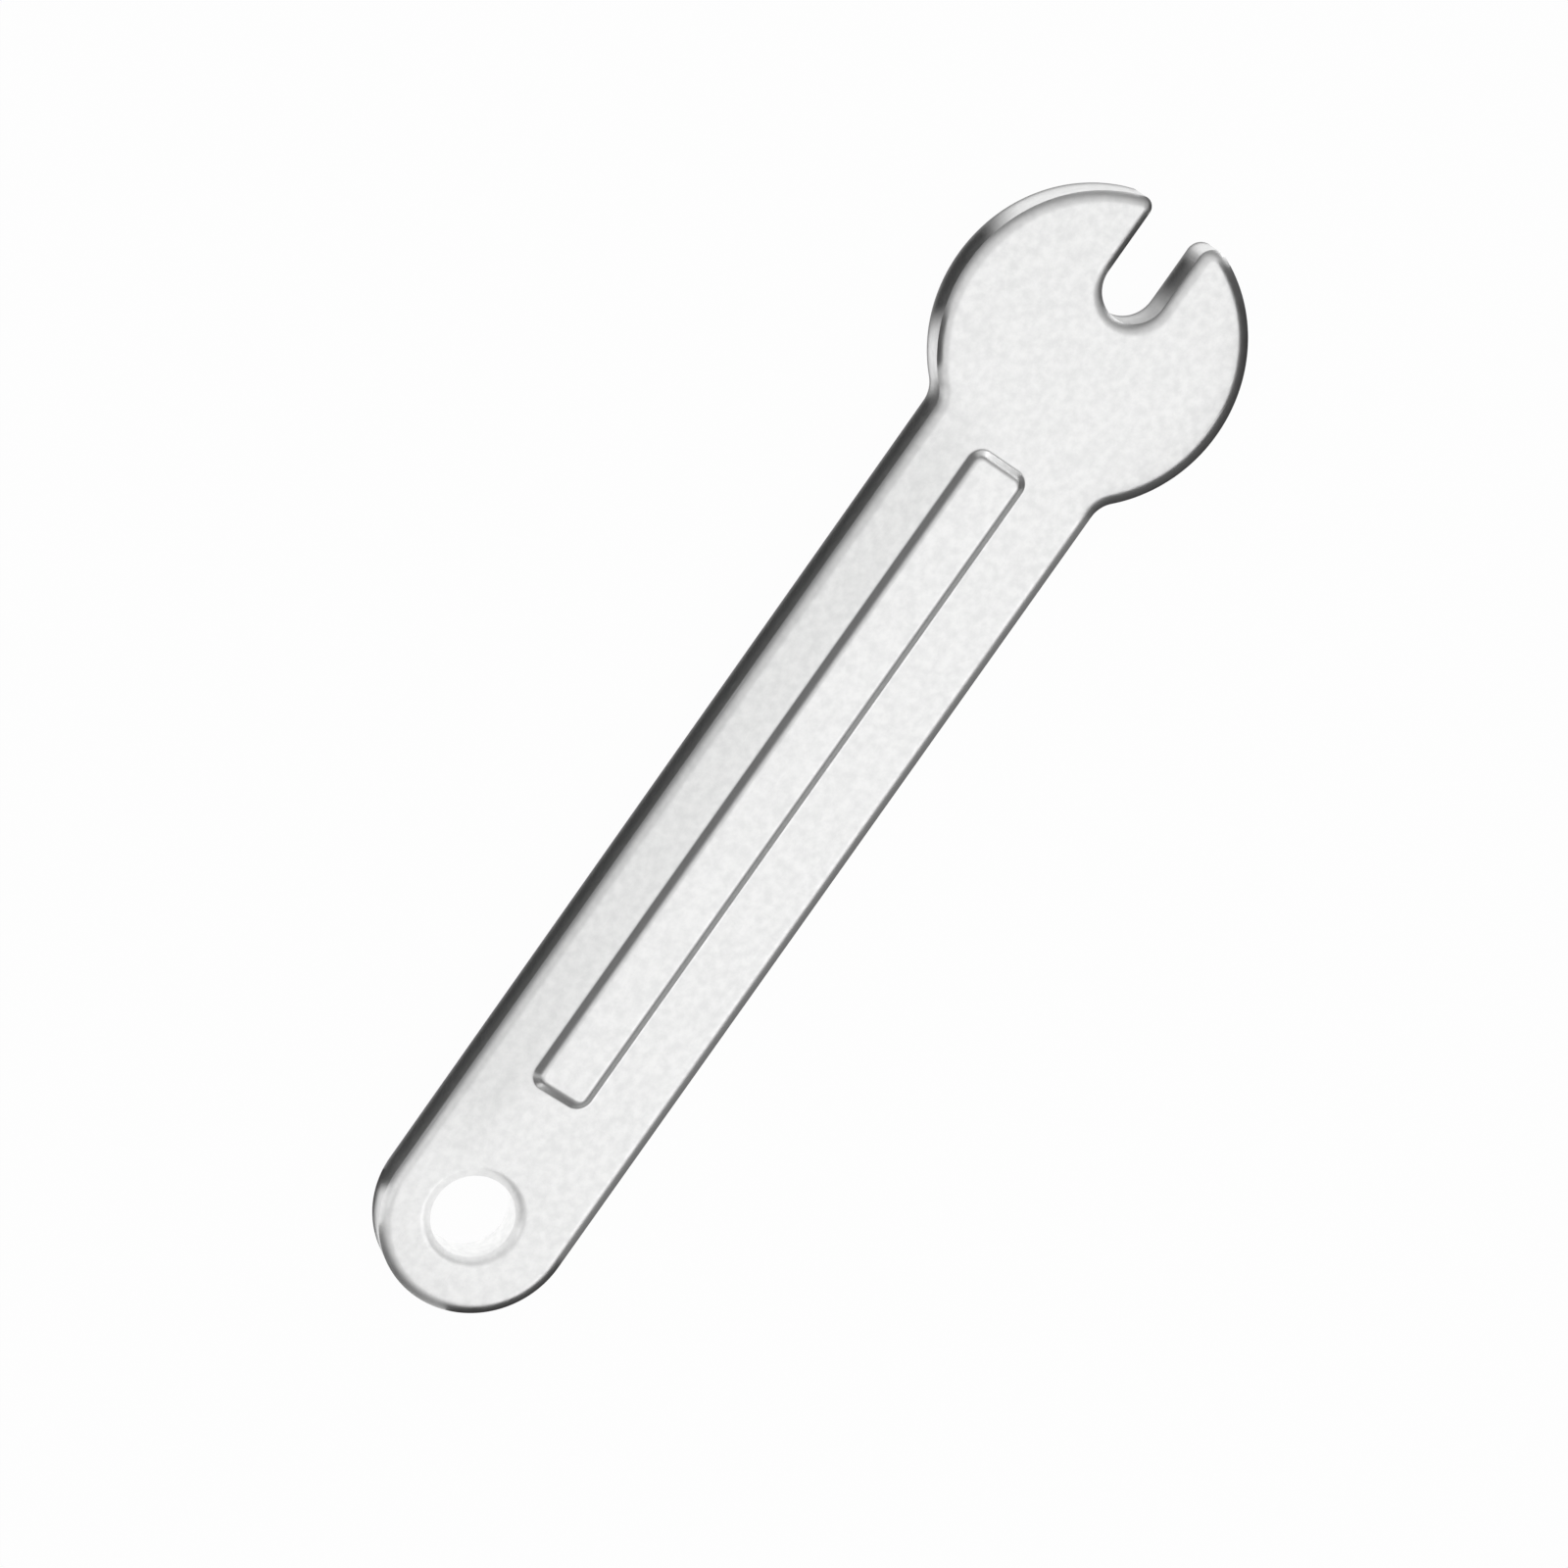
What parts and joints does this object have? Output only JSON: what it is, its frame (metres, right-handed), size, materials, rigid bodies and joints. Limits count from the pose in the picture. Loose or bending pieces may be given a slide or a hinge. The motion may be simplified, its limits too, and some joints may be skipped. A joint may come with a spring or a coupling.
{
  "type": "open-end wrench",
  "caption": "Flat stamped steel open-end wrench with a round head, a parallel-sided jaw slot, a raised stiffening rib along the handle and a hang hole at the tail.",
  "frame": {"origin": "middle of the underside's bounding rectangle, with the wrench lying on its back", "axes": "+X along the handle from the hang hole to the jaws, +Y to the left jaw seen from the front, +Z out of the front face"},
  "size_m": [0.106, 0.0256, 0.0043],
  "materials": {
    "plated_steel": "satin plating with faint tumbling marks"
  },
  "bodies": {
    "root": {"wrench_body": "plated_steel"}
  },
  "joints": []
}
